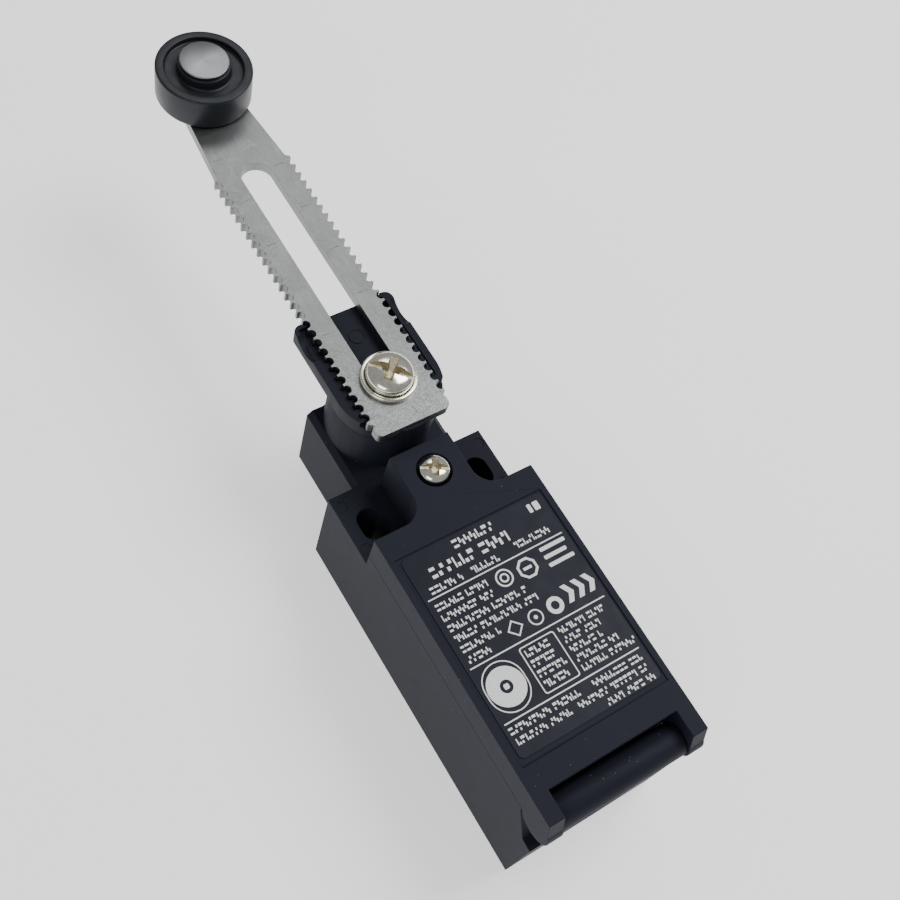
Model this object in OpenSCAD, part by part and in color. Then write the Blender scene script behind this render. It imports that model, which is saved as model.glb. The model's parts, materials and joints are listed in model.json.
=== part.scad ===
// Compact plastic limit switch with an adjustable roller lever, lying on its mounting face.
// X runs across the body, Y along it towards the head, and Z out of the mounting face.
// The origin is midway between the two mounting holes, on the mounting face.

/* [Case] */
// Width of the case and its cover
case_w = 31; // [30.6:0.1:31.6]
// Length from the mounting holes to the conduit end
case_down = 57.6; // [57.4:0.1:58]
// Length from the mounting holes to the head joint
case_up = 8; // [7.8:0.1:8.2]
// Height of the two ears that carry the mounting holes
ear_z = 21.1; // [21:0.1:21.4]
// Height of the rim that the cover closes on
rim_z = 24.2; // [24.1:0.1:24.6]
// Thickness of the case and cover walls
wall = 2.2; // [2:0.1:2.3]
// Radius of the two mounting slots, for M4 screws
slot_r = 2.15; // [2.1:0.05:2.25]
// Minor radius of the M16 conduit thread
conduit_r = 7.2; // [6.8:0.1:7.4]

/* [Cover] */
// Height of the cover's front face
front_z = 30.6; // [30.4:0.1:31]
// Width of the tab at the cover's top end
tab_w = 11.6; // [11.2:0.2:12]
// Radius of the fillet between the tab and the shoulders
tab_fillet = 3.8; // [3.2:0.2:4]
// Radius of the hinge barrel on the case
barrel_r = 2.9; // [2.7:0.1:2.95]

/* [Head] */
// Width of the head
head_w = 20.8; // [20.4:0.2:21.2]
// Length of the head along the body
head_len = 16.5; // [16.3:0.1:17]
// Height of the boss that carries the lever shaft
boss_z = 30.4; // [30.3:0.1:30.5]
// Radius of that boss
boss_r = 9.4; // [9.2:0.1:9.4]

/* [Lever] */
// Distance from the shaft to the roller
lever_len = 67.5; // [66:0.5:68]
// Pitch of the teeth along both edges of the arm
tooth_pitch = 2; // [1.98:0.01:2.02]
// Number of teeth on each edge
teeth = 28; // [26:1:28]
// Thickness of the arm
arm_t = 2; // [1.8:0.1:2]
// Radius of the roller
roller_r = 8.75; // [8:0.25:9]
// Width of the roller
roller_t = 6.3; // [6:0.1:6.5]

/* [Hidden] */
$fn = 48;

half_w = case_w / 2;
shoulder_y = -5;
chamber_top = shoulder_y - 1.8;
chamber_bottom = -48.4;
floor_t = 2.2;
hinge_y = -55;
hinge_z = 25.1;
lug_w = 3;
lug_in = half_w - lug_w;
lug_r = 3.3;
stub_r = 1.25;
notch_y = -51.8;
screw_y = 1.5;
screw_seat = front_z - 1.9;
screw_head_t = 3.2;
slot_in = 10;
slot_out = 11;
conduit_z = 12;
tab_top = 6.7;
label_half = 14.3;
label_low = -47.1;
label_high = -9.6;
label_recess = 0.25;
ledge = 1.1;

shaft_y = case_up + 10;
shaft_r = 3.5;
spigot_r = 5.2;
spigot_z = 11;
spring_bore_r = 3.9;
stem_r = 2.2;
clip_y = 5;
clip_r = 0.5;
cavity_r = 5.3;
cam_r = 4.8;
plunger_top = shaft_y - 5.4;
plug_z = 13;
plug_r = 8;
head_back = 3.3;

base_z = boss_z + 0.1;
floor_z = boss_z + 2.7;
arm_back = floor_z;
arm_front = arm_back + arm_t;
wall_z = arm_front - 0.9;
arm_half = 7.5;
gullet_r = 0.8;
slot_half = 2.95;
arm_bottom = shaft_y - 9.1;
arm_foot = 1.2;
first_tooth = arm_bottom + arm_foot + teeth * tooth_pitch;
roller_y = shaft_y + lever_len;
roller_back = arm_front + 0.2;
pin_r = 2.5;

block_half = 13;
block_z = 18.6;
shelf_z = 13.2;
strip_t = 0.8;
terminal_y = -38.8;
closed_x = 10.2;
open_x = 3.5;

// A flat plate with an outline in X and Y between two heights.
module plate(z0, z1) { translate([0, 0, z0]) linear_extrude(z1 - z0) children(); }

// A round bar or hole along Z.
module post(x, y, z0, z1, r) { translate([x, y, z0]) cylinder(h = z1 - z0, r = r); }

// A round bar or hole along Y.
module bar_y(x, z, y0, y1, r) {
    translate([x, y1, z]) rotate([90, 0, 0]) cylinder(h = y1 - y0, r = r);
}

// A round bar or hole along X.
module bar_x(y, z, x0, x1, r) {
    translate([x0, y, z]) rotate([0, 90, 0]) cylinder(h = x1 - x0, r = r);
}

// A block given by its two opposite corners.
module block(low, high) { translate(low) cube(high - low); }

// A solid with a constant outline in Y and Z, from x0 to x1.
module side_profile(x0, x1) {
    translate([x0, 0, 0]) rotate([90, 0, 90]) linear_extrude(x1 - x0) children();
}

// A slot outline from (x0, y) to (x1, y).
module slot_x(x0, x1, y, r) {
    translate([x0, y]) circle(r);
    translate([x1, y]) circle(r);
    translate([x0, y - r]) square([x1 - x0, 2 * r]);
}

// A slot outline from (x, y0) to (x, y1).
module slot_y(x, y0, y1, r) {
    translate([x, y0]) circle(r);
    translate([x, y1]) circle(r);
    translate([x - r, y0]) square([2 * r, y1 - y0]);
}

module mirrored() {
    children();
    mirror([1, 0, 0]) children();
}

// A coil spring along Z, as one wire swept round a helix.
function helix_point(a, r, pitch) = [r * cos(a), r * sin(a), pitch * a / 360];
module coil(length, r, wire_r, turns) {
    sides = 8;
    steps = 16;
    n = turns * steps;
    pitch = (length - 2 * wire_r) / turns;
    points = [for (i = [0:n]) for (s = [0:sides - 1])
        let (a = i * 360 / steps, b = s * 360 / sides, p = helix_point(a, r, pitch))
        [p[0] + wire_r * cos(b) * cos(a), p[1] + wire_r * cos(b) * sin(a), p[2] + wire_r * (1 + sin(b))]];
    rings = [for (i = [0:n - 1]) for (s = [0:sides - 1])
        let (a = i * sides + s, b = i * sides + (s + 1) % sides)
        [a, a + sides, b + sides, b]];
    ends = [[for (s = [0:sides - 1]) s], [for (s = [0:sides - 1]) n * sides + sides - 1 - s]];
    polyhedron(points, concat(rings, ends), convexity = 10);
}

// The outline that the case rim and the cover share above the shoulders.
module body_outline(inset, bottom) {
    translate([-half_w + inset, bottom]) square([case_w - 2 * inset, shoulder_y - inset - bottom]);
}

// The clearance beside the hinge barrel in which a cover lug swings.
module lug_notch() {
    side_profile(lug_in - 0.3, half_w + 1)
        polygon([[notch_y, rim_z + 1], [notch_y, rim_z - 0.8], [-55.3, 16.8], [-60, 16.2], [-60, rim_z + 1]]);
}

module mounting_slot() {
    plate(-1, ear_z + 1) slot_x(slot_in, slot_out, 0, slot_r);
    plate(8, ear_z + 1) slot_y(slot_out, 0, 1.7, slot_r);
}

module ejector_marks() {
    for (p = [[14.1, 5.8], [14.1, -2.8], [8, 6]]) post(p[0], p[1], ear_z - 0.15, ear_z + 1, 1);
}

// The case is an open tray with two ears, a conduit end and a hinge barrel.
module case() color("#2b2e36") {
    difference() {
        union() {
            plate(0, ear_z) translate([-half_w, -case_down]) square([case_w, case_down + case_up]);
            plate(ear_z - 1, rim_z) body_outline(0, -case_down);
            bar_x(hinge_y, hinge_z, -lug_in + 0.3, lug_in - 0.3, barrel_r);
        }
        block([-half_w + wall, chamber_bottom, floor_t], [half_w - wall, chamber_top, rim_z + 1]);
        plate(rim_z - ledge - 0.1, rim_z + 1) translate([-half_w + ledge, chamber_bottom - 1])
            square([case_w - 2 * ledge, chamber_top - chamber_bottom + 1.7]);
        block([-6.2, chamber_top - 0.1, ear_z], [6.2, shoulder_y + 1, rim_z + 1]);
        mirrored() lug_notch();
        difference() {
            side_profile(-lug_in, lug_in) polygon([[notch_y, rim_z + 1], [notch_y, hinge_z - 3.2],
                [hinge_y, hinge_z - 2.4], [-60, hinge_z - 2.4], [-60, rim_z + 1]]);
            bar_x(hinge_y, hinge_z, -lug_in, lug_in, barrel_r);
        }
        mirrored() bar_x(hinge_y, hinge_z, lug_in - 4, lug_in + 1, stub_r + 0.05);
        bar_y(0, conduit_z, -case_down - 1, chamber_bottom + 1, conduit_r);
        bar_y(0, spigot_z, 1.9, case_up + 1, spigot_r + 0.05);
        bar_y(0, spigot_z, case_up - 1.4, case_up + 1, 6.3);
        bar_y(0, spigot_z, chamber_top - 1, 3, stem_r + 0.3);
        post(0, screw_y, 17.2, ear_z + 1, 2);
        mirrored() post(spigot_r - 0.05, clip_y, 0.4, 16, clip_r + 0.05);
        block([-spigot_r, clip_y - 0.6, -1], [spigot_r, clip_y + 0.6, 1.4]);
        mirrored() mounting_slot();
        mirrored() ejector_marks();
    }
}

module cover_outline() {
    body_outline(0, notch_y);
    difference() {
        translate([-tab_w / 2 - tab_fillet, shoulder_y - 1]) square([tab_w + 2 * tab_fillet, tab_fillet + 1]);
        mirrored() translate([tab_w / 2 + tab_fillet, shoulder_y + tab_fillet]) circle(tab_fillet);
        mirrored() translate([tab_w / 2 + tab_fillet, shoulder_y]) square(tab_fillet + 1);
    }
    translate([-tab_w / 2, shoulder_y - 1]) square([tab_w, tab_top - shoulder_y + 1]);
}

// A lug that carries the cover round the end of the hinge barrel.
module cover_lug() {
    side_profile(lug_in, half_w) {
        translate([hinge_y, hinge_z]) circle(lug_r);
        polygon([[hinge_y - lug_r, hinge_z], [hinge_y - 1.5, front_z], [hinge_y + lug_r, front_z],
            [hinge_y + lug_r, hinge_z]]);
    }
    bar_x(hinge_y, hinge_z, lug_in - 3, lug_in + 1, stub_r);
}

// The cover is a shallow shell with a screw tab at one end and two hinge lugs at the other.
module cover() color("#2d3038") {
    difference() {
        union() {
            plate(rim_z, front_z) body_outline(0, notch_y);
            plate(ear_z, front_z) difference() {
                cover_outline();
                translate([-half_w, notch_y]) square([case_w, shoulder_y - notch_y]);
            }
            plate(ear_z + 0.2, rim_z + 1) translate([-5.8, chamber_top + 0.75]) square([11.6, 2]);
            mirrored() cover_lug();
        }
        block([0.4 - half_w + wall, chamber_bottom + 0.2, rim_z - 1],
            [half_w - wall - 0.4, chamber_top - 0.6, front_z - wall]);
        post(0, screw_y, ear_z - 1, front_z, 2);
        post(0, screw_y, screw_seat - 0.1, front_z + 1, 3.1);
        post(0, screw_y, ear_z - 1, ear_z + 1.2, 2.8);
        plate(front_z - label_recess, front_z + 1)
            translate([-label_half, label_low]) square([2 * label_half, label_high - label_low]);
    }
}

module cover_gasket() color("#17181b") {
    plate(rim_z - ledge, rim_z) difference() {
        translate([-half_w + ledge + 0.1, chamber_bottom - 0.9])
            square([case_w - 2 * ledge - 0.2, chamber_top - chamber_bottom + 1.5]);
        translate([-half_w + 2.1, chamber_bottom]) square([case_w - 4.2, chamber_top - chamber_bottom - 0.3]);
    }
}

module cross_recess(r, depth, width) {
    for (a = [0, 90]) rotate(a) translate([-r, -width / 2, -depth]) cube([2 * r, width, depth + 1]);
}

module cover_screw() color("#c9c6b4") {
    difference() {
        union() {
            post(0, screw_y, 17.6, screw_seat, 1.5);
            post(0, screw_y, screw_seat, screw_seat + screw_head_t, 2.7);
        }
        translate([0, screw_y, screw_seat + screw_head_t]) rotate(-28) {
            cross_recess(1.5, 1.1, 0.7);
            translate([-3, -0.4, -0.8]) cube([6, 0.8, 2]);
        }
    }
}

// A ring under the tab that keeps the screw in the cover.
module cover_screw_ring() color("#17181b") {
    difference() {
        post(0, screw_y, ear_z + 0.1, ear_z + 1.1, 2.75);
        post(0, screw_y, ear_z, ear_z + 1.2, 1.52);
    }
}

module label_plate() color("#23262e") {
    plate(front_z - label_recess, front_z - 0.1) translate([0.1 - label_half, label_low + 0.1])
        square([2 * label_half - 0.2, label_high - label_low - 0.2]);
}

// The head is a chamfered block with a round boss for the shaft and a spigot that enters the case.
module head() color("#2b2e36") {
    h = head_w / 2;
    top = ear_z;
    difference() {
        union() {
            translate([0, case_up + head_len, 0]) rotate([90, 0, 0]) linear_extrude(head_len)
                polygon([[-h, head_back + 1], [1 - h, head_back], [h - 1, head_back], [h, head_back + 1],
                    [h, top - 1], [h - 1, top], [1 - h, top], [-h, top - 1]]);
            post(0, shaft_y, top - 1, boss_z, boss_r);
            bar_y(0, plug_z, case_up + head_len - 1, case_up + head_len + 1.3, plug_r);
            bar_y(0, spigot_z, 2, case_up + 1, spigot_r);
        }
        post(0, shaft_y, head_back - 1, head_back + 2, cavity_r + 0.6);
        post(0, shaft_y, head_back, 17.5, cavity_r);
        post(0, shaft_y, 17, boss_z + 1, 5);
        bar_y(0, spigot_z, 3, shaft_y - 4, spring_bore_r);
        bar_y(0, spigot_z, 1, 4, stem_r + 0.3);
        difference() {
            bar_y(0, spigot_z, clip_y - 0.6, clip_y + 0.6, spigot_r + 1);
            bar_y(0, spigot_z, clip_y - 1, clip_y + 1, 4.6);
        }
    }
}

module head_rear_cap() color("#202228") {
    difference() {
        post(0, shaft_y, head_back, head_back + 1.95, cavity_r + 0.55);
        post(0, shaft_y, head_back + 0.7, head_back + 3, shaft_r + 0.05);
    }
}

// The gasket sits round the spigot in a groove of the case face.
module head_gasket() color("#17181b") {
    difference() {
        bar_y(0, spigot_z, case_up - 1.4, case_up, 6.28);
        bar_y(0, spigot_z, case_up - 2, case_up + 1, spigot_r + 0.02);
    }
}

// A spring-steel staple that locks the spigot in the case.
module head_clip() color("#b9bcc0") {
    mirrored() post(spigot_r - 0.05, clip_y, 0.5, 15, clip_r);
    bar_x(clip_y, 0.9, -spigot_r + 0.05, spigot_r - 0.05, clip_r);
}

module shaft_bush() color("#a5813c") {
    difference() {
        post(0, shaft_y, 17.5, 28, 4.97);
        post(0, shaft_y, 17, 29, shaft_r + 0.03);
    }
}

module shaft_seal() color("#17181b") {
    translate([0, shaft_y, 28.9]) rotate_extrude() translate([4.26, 0]) circle(0.72, $fn = 24);
}

module lever_shaft() color("#b9bcc0") {
    difference() {
        post(0, shaft_y, head_back + 0.8, floor_z - 0.2, shaft_r);
        post(0, shaft_y, floor_z - 9, floor_z, 2);
        difference() {
            post(0, shaft_y, 7.2, 8.2, shaft_r + 1);
            post(0, shaft_y, 7, 8.4, 2.9);
        }
        block([-4, shaft_y - 5, 8.6], [4, shaft_y - 2.8, 15.4]);
    }
}

// The cam turns with the shaft, with a flat that faces the plunger at rest.
module cam() color("#d8d6cc") {
    difference() {
        post(0, shaft_y, 8.6, 15.4, cam_r);
        difference() {
            post(0, shaft_y, 8, 16, shaft_r + 0.02);
            block([-4, shaft_y - 5, 8], [4, shaft_y - 2.82, 16]);
        }
        block([-7, shaft_y - 8, 8], [7, shaft_y - 3.9, 16]);
    }
}

module shaft_clip() color("#8d9094") {
    difference() {
        post(0, shaft_y, 7.3, 8.1, 4.7);
        post(0, shaft_y, 7, 9, 2.95);
        block([-2.4, shaft_y - 6, 7], [2.4, shaft_y, 9]);
    }
}

module plunger() color("#e5e0d0") {
    bar_y(0, spigot_z, -3, plunger_top - 1, stem_r);
    bar_y(0, spigot_z, plunger_top - 1.8, plunger_top, 3.6);
}

module plunger_spring() color("#b9bcc0") {
    seat = plunger_top - 1.85;
    translate([0, seat, spigot_z]) rotate([90, 0, 0]) coil(seat - 3.05, 3.05, 0.28, 5);
}

// The arm's outline, with rounded gullets along both edges below its tapered end.
module arm_outline() {
    difference() {
        union() {
            polygon([[-6.4, arm_bottom], [6.4, arm_bottom], [7.2, arm_bottom + arm_foot],
                [arm_half, arm_bottom + arm_foot], [arm_half, first_tooth], [6.9, first_tooth + 1.1],
                [5.3, roller_y - 7], [5.05, roller_y], [-5.05, roller_y], [-5.3, roller_y - 7],
                [-6.9, first_tooth + 1.1],
                [-arm_half, first_tooth], [-arm_half, arm_bottom + arm_foot], [-7.2, arm_bottom + arm_foot]]);
            translate([0, roller_y]) circle(5.05);
        }
        for (i = [0:teeth - 1]) mirrored()
            translate([arm_half, first_tooth - tooth_pitch * (i + 0.5)]) circle(gullet_r, $fn = 20);
        slot_y(0, shaft_y, first_tooth - 1.7, slot_half);
        translate([0, roller_y]) circle(pin_r - 0.6);
    }
}

module lever_arm() color("#a9aeb0") { plate(arm_back, arm_front) arm_outline(); }

// The base is a channel whose side walls carry teeth for the arm, on a disc that caps the boss.
module lever_base() color("#26282f") {
    top = shaft_y + 16;
    side = 9.7;
    corner = 2;
    difference() {
        union() {
            post(0, shaft_y, base_z, wall_z, 9.45);
            plate(base_z + 1, wall_z) {
                translate([-side, shaft_y]) square([2 * side, top - corner - shaft_y]);
                translate([corner - side, shaft_y]) square([2 * (side - corner), top - shaft_y]);
                mirrored() translate([side - corner, top - corner]) circle(corner);
            }
        }
        difference() {
            block([-arm_half - 0.1, shaft_y - 12, floor_z], [arm_half + 0.1, top + 1, wall_z + 1]);
            for (i = [teeth - 17:teeth - 3]) let (y = first_tooth - tooth_pitch * (i + 0.5))
                if (y > shaft_y - 3.5 && y < top - 1) mirrored()
                    post(arm_half + 0.1, y, floor_z - 1, wall_z, gullet_r - 0.15);
        }
        post(0, shaft_y, base_z - 1, floor_z + 1, shaft_r + 0.02);
    }
}

module lever_washer() color("#c9c6b4") {
    difference() {
        post(0, shaft_y, arm_front, arm_front + 1, 4.95);
        post(0, shaft_y, arm_front - 1, arm_front + 2, 2.15);
    }
}

// A pan head screw with a slot across a cross recess, threaded into the shaft.
module lever_screw() color("#c9c6b4") {
    top = arm_front + 3.4;
    difference() {
        union() {
            post(0, shaft_y, floor_z - 7.5, arm_front + 1, 1.95);
            post(0, shaft_y, arm_front + 1, top - 0.6, 4.1);
            translate([0, shaft_y, top - 0.6]) cylinder(h = 0.6, r1 = 4.1, r2 = 3.3);
        }
        translate([0, shaft_y, top]) rotate(-46) {
            cross_recess(2.2, 1.9, 1);
            translate([-5, -0.6, -1.2]) cube([10, 1.2, 2]);
        }
    }
}

module roller() color("#1d2021") {
    front = roller_back + roller_t;
    difference() {
        post(0, roller_y, roller_back, front, roller_r);
        difference() {
            post(0, roller_y, front - 1, front + 1, 7.2);
            post(0, roller_y, front - 2, front + 2, 4.75);
        }
        post(0, roller_y, roller_back - 1, front + 1, pin_r + 0.05);
        post(0, roller_y, roller_back - 1, roller_back + 1, 3.6);
    }
}

// A collar that keeps the roller clear of the arm.
module roller_bush() color("#b9bcc0") {
    difference() {
        post(0, roller_y, arm_front, roller_back + 0.75, 3.3);
        post(0, roller_y, arm_front - 1, roller_back + 2, pin_r + 0.01);
    }
}

module roller_pin() color("#8f9294") {
    front = roller_back + roller_t;
    post(0, roller_y, arm_front, front + 0.5, pin_r);
    post(0, roller_y, front + 0.15, front + 1.7, 4.4);
    post(0, roller_y, arm_back, arm_front + 0.5, pin_r - 0.62);
    post(0, roller_y, arm_back - 0.9, arm_back, 3.2);
}

// The block holds the contacts and carries four screw terminals on a shelf.
module contact_block() color("#d9d4c6") {
    difference() {
        union() {
            block([-block_half, -33, 2.4], [block_half, chamber_top - 0.4, block_z - 1.2]);
            block([-block_half, -43.6, 2.4], [block_half, -32, shelf_z]);
            for (x = [-6.85, 0, 6.85]) block([x - 0.5, -43.6, shelf_z - 1], [x + 0.5, -33, 17.4]);
        }
        block([-12.2, -31, 5], [12.2, -9, block_z]);
        bar_y(0, spigot_z, -10, chamber_top + 1, 2.3);
        for (x = [closed_x, open_x]) mirrored() {
            block([x - 1.85, -34, shelf_z], [x + 1.85, -30.9, shelf_z + strip_t + 0.05]);
            post(x, terminal_y, 5.5, shelf_z + 1, 1.5);
        }
    }
}

module contact_block_lid() color("#c7c1ae") {
    block([-block_half, -33, block_z - 1.2], [block_half, chamber_top - 0.4, block_z]);
}

// The carrier slides with the plunger and holds each bridge in a window.
module contact_carrier() color("#a33a2c") {
    bar_y(0, spigot_z, -9.2, -3.1, 2);
    difference() {
        block([-2, -25.6, 8], [2, -9.1, 14.4]);
        block([-3, -17.6, 9.3], [3, -12.8, 12.9]);
        block([-3, -24.8, 9.3], [3, -20.7, 12.9]);
    }
}

module carrier_spring() color("#b9bcc0") {
    translate([0, -25.7, spigot_z]) rotate([90, 0, 0]) coil(5.2, 1.25, 0.18, 6);
}

module contact_springs() color("#b9bcc0") {
    translate([0, -13.75, spigot_z]) rotate([90, 0, 0]) coil(3.8, 1.2, 0.15, 5);
    translate([0, -20.75, spigot_z]) rotate([90, 0, 0]) coil(3.1, 1.2, 0.15, 4);
}

// A contact bridge with a rivet at each end; side is the way its rivets face along Y.
module bridge(half, y, rivet_x, side) {
    block([-half, y - 0.4, 9.5], [half, y + 0.4, 12.7]);
    low = side > 0 ? y + 0.4 : y - 1;
    mirrored() bar_y(rivet_x, spigot_z, low, low + 0.6, 1.1);
}

module bridge_closed() color("#c08a4a") { bridge(11.6, -13.3, closed_x, 1); }

module bridge_open() color("#c08a4a") { bridge(5.4, -24.3, 4, -1); }

// A terminal strip from its screw to a fixed contact; reach is where its contact tab stands.
module terminal(x, reach, x0, x1, side) {
    difference() {
        block([x - 1.8, terminal_y - 2.6, shelf_z], [x + 1.8, reach + 0.4, shelf_z + strip_t]);
        post(x, terminal_y, shelf_z - 1, shelf_z + 2, 1.45);
    }
    block([x0, reach - 0.4, 9.4], [x1, reach + 0.4, shelf_z + strip_t]);
    low = side > 0 ? reach + 0.4 : reach - 0.95;
    bar_y((x0 + x1) / 2, spigot_z, low, low + 0.55, 1.1);
}

module terminal_closed_right() color("#c9a561") { terminal(closed_x, -11.33, 8.4, 12, -1); }

module terminal_closed_left() color("#c9a561") { mirror([1, 0, 0]) terminal_closed_right(); }

module terminal_open_right() color("#c9a561") { terminal(open_x, -28.9, 2.7, 5.3, 1); }

module terminal_open_left() color("#c9a561") { mirror([1, 0, 0]) terminal_open_right(); }

module terminal_clamps() color("#b9bcc0") {
    for (x = [closed_x, open_x]) mirrored() difference() {
        block([x - 2.5, terminal_y - 2.5, shelf_z + strip_t],
            [x + 2.5, terminal_y + 2.5, shelf_z + strip_t + 0.9]);
        post(x, terminal_y, shelf_z, shelf_z + 3, 1.45);
    }
}

module terminal_screws() color("#b9bcc0") {
    seat = shelf_z + strip_t + 0.9;
    for (x = [closed_x, open_x]) mirrored() difference() {
        union() {
            post(x, terminal_y, 6, seat, 1.4);
            post(x, terminal_y, seat, seat + 1.8, 2.4);
        }
        translate([x, terminal_y, seat + 1.8]) {
            cross_recess(1.3, 1, 0.6);
            translate([-3, -0.35, -0.8]) cube([6, 0.7, 2]);
        }
    }
}

case();
cover();
cover_gasket();
cover_screw();
cover_screw_ring();
label_plate();
head();
head_rear_cap();
head_gasket();
head_clip();
shaft_bush();
shaft_seal();
lever_shaft();
cam();
shaft_clip();
plunger();
plunger_spring();
lever_base();
lever_arm();
lever_washer();
lever_screw();
roller();
roller_bush();
roller_pin();
contact_block();
contact_block_lid();
contact_carrier();
carrier_spring();
contact_springs();
bridge_closed();
bridge_open();
terminal_closed_left();
terminal_closed_right();
terminal_open_left();
terminal_open_right();
terminal_screws();
terminal_clamps();
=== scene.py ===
"""The limit switch as it looks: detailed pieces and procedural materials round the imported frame."""
import json
import math
import random

import bmesh
import bpy
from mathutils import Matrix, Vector


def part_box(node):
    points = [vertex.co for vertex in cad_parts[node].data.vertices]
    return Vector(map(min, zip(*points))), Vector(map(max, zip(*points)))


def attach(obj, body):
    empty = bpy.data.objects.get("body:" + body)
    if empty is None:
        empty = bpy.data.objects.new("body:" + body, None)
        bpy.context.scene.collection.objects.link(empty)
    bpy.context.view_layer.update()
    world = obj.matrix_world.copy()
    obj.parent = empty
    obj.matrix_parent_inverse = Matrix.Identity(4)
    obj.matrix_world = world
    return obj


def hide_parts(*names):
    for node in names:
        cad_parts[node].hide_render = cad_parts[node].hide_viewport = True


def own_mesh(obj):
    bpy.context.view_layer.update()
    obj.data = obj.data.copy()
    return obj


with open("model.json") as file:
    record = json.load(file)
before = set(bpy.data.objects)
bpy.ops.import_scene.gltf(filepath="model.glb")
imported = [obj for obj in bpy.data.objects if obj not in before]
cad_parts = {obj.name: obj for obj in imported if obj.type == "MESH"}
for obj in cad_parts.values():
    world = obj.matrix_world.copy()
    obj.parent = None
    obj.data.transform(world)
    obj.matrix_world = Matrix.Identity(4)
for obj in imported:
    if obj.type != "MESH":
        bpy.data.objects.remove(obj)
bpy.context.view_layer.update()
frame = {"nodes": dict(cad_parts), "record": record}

MM = 0.001
scene = bpy.context.scene
rng = random.Random(11)


# ---------------------------------------------------------------- places, in millimetres, from the frame

def low(node):
    """The lowest corner of a CAD node's box."""
    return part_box(node)[0] / MM


def high(node):
    """The highest corner of a CAD node's box."""
    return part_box(node)[1] / MM


SHAFT = (low("lever_shaft") + high("lever_shaft")) / 2
ROLLER = (low("roller") + high("roller")) / 2
COVER_SCREW = (low("cover_screw") + high("cover_screw")) / 2
ARM_BACK = low("lever_arm").z
ARM_FRONT = high("lever_arm").z
ARM_BOTTOM = low("lever_arm").y
COVER_FRONT = high("cover").z
BASE_BACK = low("lever_base").z
BASE_FRONT = high("lever_base").z
LABEL_LOW = low("label_plate")
LABEL_HIGH = high("label_plate")

# The arm's teeth, counted down from the topmost one. Their tips and roots are measured from its middle line.
PITCH = 2.0
TEETH = 28
PLAIN_FOOT = 1.2
FIRST_TOOTH = ARM_BOTTOM + PLAIN_FOOT + TEETH * PITCH
TIP_X = 7.55
ROOT_X = 6.6
GULLET_R = 0.78

# The height by which a cutting tool passes the face that it cuts.
CLEAR = 1.0


# ---------------------------------------------------------------- outlines

def arc(x, y, r, start, end, steps=10):
    """Points on an arc, with the angles in degrees."""
    angles = [math.radians(start + (end - start) * i / steps) for i in range(steps + 1)]
    return [(x + r * math.cos(a), y + r * math.sin(a)) for a in angles]


def circle(x, y, r, steps=48):
    return arc(x, y, r, 0, 360 - 360 / steps, steps - 1)


def rounded(corners, steps=6):
    """A polygon whose corners (x, y, r) are rounded with radius r."""
    out = []
    for i, (x, y, r) in enumerate(corners):
        corner = Vector((x, y))
        if r == 0:
            out.append((x, y))
            continue
        before = (Vector(corners[i - 1][:2]) - corner).normalized()
        after = (Vector(corners[(i + 1) % len(corners)][:2]) - corner).normalized()
        half = before.angle(after) / 2
        centre = corner + (before + after).normalized() * r / math.sin(half)
        first = corner + before * r / math.tan(half) - centre
        last = corner + after * r / math.tan(half) - centre
        start = math.degrees(math.atan2(first.y, first.x))
        turn = (math.degrees(math.atan2(last.y, last.x)) - start + 180) % 360 - 180
        out += arc(centre.x, centre.y, r, start, start + turn, steps)
    return out


def rectangle(x0, y0, x1, y1, r=0.0, steps=5):
    return rounded([(x0, y0, r), (x1, y0, r), (x1, y1, r), (x0, y1, r)], steps)


def turned(points, angle, x=0.0, y=0.0):
    """Points turned about the origin by an angle in degrees, then moved."""
    c = math.cos(math.radians(angle))
    s = math.sin(math.radians(angle))
    return [(x + px * c - py * s, y + px * s + py * c) for px, py in points]


# ---------------------------------------------------------------- solids

def to_object(name, bm):
    """An object from a mesh in millimetres."""
    bmesh.ops.scale(bm, vec=(MM, MM, MM), verts=bm.verts)
    mesh = bpy.data.meshes.new(name)
    bm.to_mesh(mesh)
    bm.free()
    mesh.polygons.foreach_set("use_smooth", [True] * len(mesh.polygons))
    obj = bpy.data.objects.new(name, mesh)
    scene.collection.objects.link(obj)
    return obj


# Where an outline's two numbers and the length along the axis go in (x, y, z).
AXES = {
    "z": lambda a, b, c: (a, b, c),
    "x": lambda a, b, c: (c, a, b),
}


def add_prism(bm, outline, start, end, axis="z"):
    """A straight solid along an axis. Its outline is in (x, y) along z, or in (y, z) along x."""
    place = AXES[axis]
    rings = [[bm.verts.new(place(a, b, c)) for a, b in outline] for c in (start, end)]
    count = len(outline)
    faces = [bm.faces.new(rings[0]), bm.faces.new(list(reversed(rings[1])))]
    for i in range(count):
        j = (i + 1) % count
        faces.append(bm.faces.new((rings[0][j], rings[0][i], rings[1][i], rings[1][j])))
    bmesh.ops.recalc_face_normals(bm, faces=faces)


def prism(name, outline, start, end, axis="z"):
    bm = bmesh.new()
    add_prism(bm, outline, start, end, axis)
    return to_object(name, bm)


def lathe(name, profile, centre, closed=False, steps=96):
    """A turned solid round a vertical axis from (r, z) points. Points with r = 0 lie on the axis.
    A closed profile makes a ring."""
    bm = bmesh.new()
    rings = []
    for r, z in profile:
        if r == 0:
            rings.append([bm.verts.new((centre.x, centre.y, z))] * steps)
        else:
            rings.append([bm.verts.new((x, y, z)) for x, y in circle(centre.x, centre.y, r, steps)])
    pairs = list(zip(rings, rings[1:]))
    if closed:
        pairs.append((rings[-1], rings[0]))
    for a, b in pairs:
        for i in range(steps):
            j = (i + 1) % steps
            corners = []
            for v in (a[i], a[j], b[j], b[i]):
                if v not in corners:
                    corners.append(v)
            bm.faces.new(corners)
    bmesh.ops.recalc_face_normals(bm, faces=bm.faces)
    return to_object(name, bm)


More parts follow.
